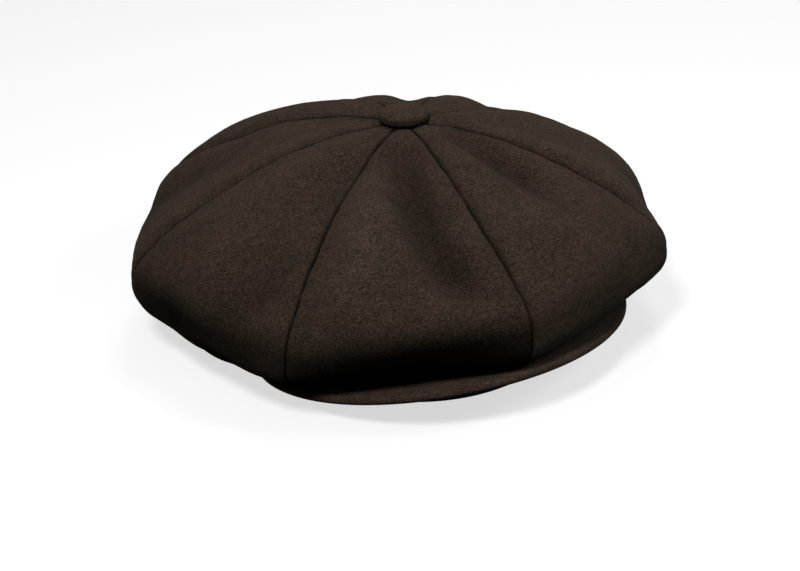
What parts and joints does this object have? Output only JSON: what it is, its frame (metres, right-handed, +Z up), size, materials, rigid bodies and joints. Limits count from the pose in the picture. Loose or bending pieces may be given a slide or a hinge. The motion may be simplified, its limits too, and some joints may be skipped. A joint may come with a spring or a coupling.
{
  "type": "newsboy cap",
  "caption": "Soft round cap of wool gores meeting at a covered button, full crown over a head band, with a short stiff sewn-in visor.",
  "frame": {"origin": "centre of the head opening, in the plane of the band's lower edge on which the cap rests", "axes": "+Z up through the button, -Y to the front where the visor is, +X to the wearer's left"},
  "size_m": [0.2744, 0.2763, 0.11],
  "materials": {
    "wool": "felted wool melton, matte with a short nap",
    "lining": "satin weave, soft gloss",
    "sweatband_leather": "smooth brown leather, low gloss",
    "buckram": "stiff open weave, matte",
    "board": "pressed board, matte",
    "button_metal": "plain stamped metal",
    "washer_plastic": "moulded plastic, matte"
  },
  "bodies": {
    "cap": {"panel_front_left": "wool", "panel_side_front_left": "wool", "panel_side_back_left": "wool", "panel_back_left": "wool", "panel_back_right": "wool", "panel_side_back_right": "wool", "panel_side_front_right": "wool", "panel_front_right": "wool", "lining_front_left": "lining", "lining_side_front_left": "lining", "lining_side_back_left": "lining", "lining_back_left": "lining", "lining_back_right": "lining", "lining_side_back_right": "lining", "lining_side_front_right": "lining", "lining_front_right": "lining", "sweatband": "sweatband_leather", "band_stiffener": "buckram", "headband": "wool", "button_cover": "wool", "button_shell": "button_metal", "button_back_plate": "button_metal", "button_shank": "button_metal", "button_washer": "washer_plastic"},
    "visor": {"visor_board": "board", "visor_top_cloth": "wool", "visor_under_cloth": "wool"}
  },
  "joints": [
    {"name": "visor_flex", "type": "hinge", "parent": "cap", "child": "visor", "pos_m": [0, -0.08, 0.015], "axis": [1, 0, 0], "range_deg": [-2, 12], "stiffness_Nm_per_rad": 0.8}
  ]
}
